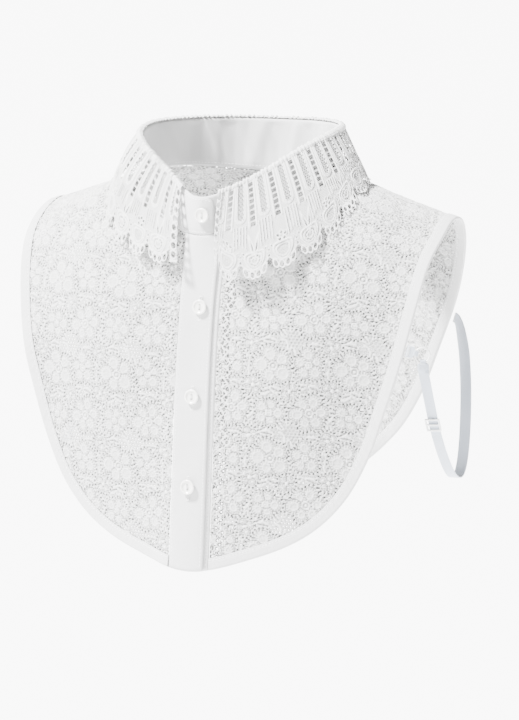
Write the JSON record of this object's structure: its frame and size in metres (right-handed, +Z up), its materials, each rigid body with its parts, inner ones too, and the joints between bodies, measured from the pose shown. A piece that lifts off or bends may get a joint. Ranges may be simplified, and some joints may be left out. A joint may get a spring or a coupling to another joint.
{
  "type": "lace dickey collar",
  "caption": "Detachable lace collar with a sleeveless lace bib in front and behind, a buttoned placket and an elastic strap at each side, held open as worn.",
  "frame": {"origin": "middle of the neck, level with the neck seam at the sides of the front, where the wearer's neck holds it", "axes": "+Z up, the wearer faces -Y, the wearer's left is +X"},
  "size_m": [0.3182, 0.171, 0.2936],
  "materials": {
    "floral_lace": "matt white floral lace",
    "scalloped_lace": "matt white guipure lace",
    "cotton": "matt white cotton",
    "button_plastic": "pearly white",
    "elastic": "satin bluish white elastic",
    "coated_wire": "white nylon coat on wire"
  },
  "bodies": {
    "root": {"front_left": "floral_lace", "front_right": "floral_lace", "back": "floral_lace", "collar_fall": "scalloped_lace", "collar_stand": "cotton", "placket_over": "cotton", "placket_under": "cotton", "binding": "cotton", "button_1": "button_plastic", "button_2": "button_plastic", "button_3": "button_plastic", "button_4": "button_plastic", "strap_left": "elastic", "strap_tab_left": "elastic", "strap_ring_left": "coated_wire", "strap_slider_left": "coated_wire", "strap_right": "elastic", "strap_tab_right": "elastic", "strap_ring_right": "coated_wire", "strap_slider_right": "coated_wire"}
  },
  "joints": []
}
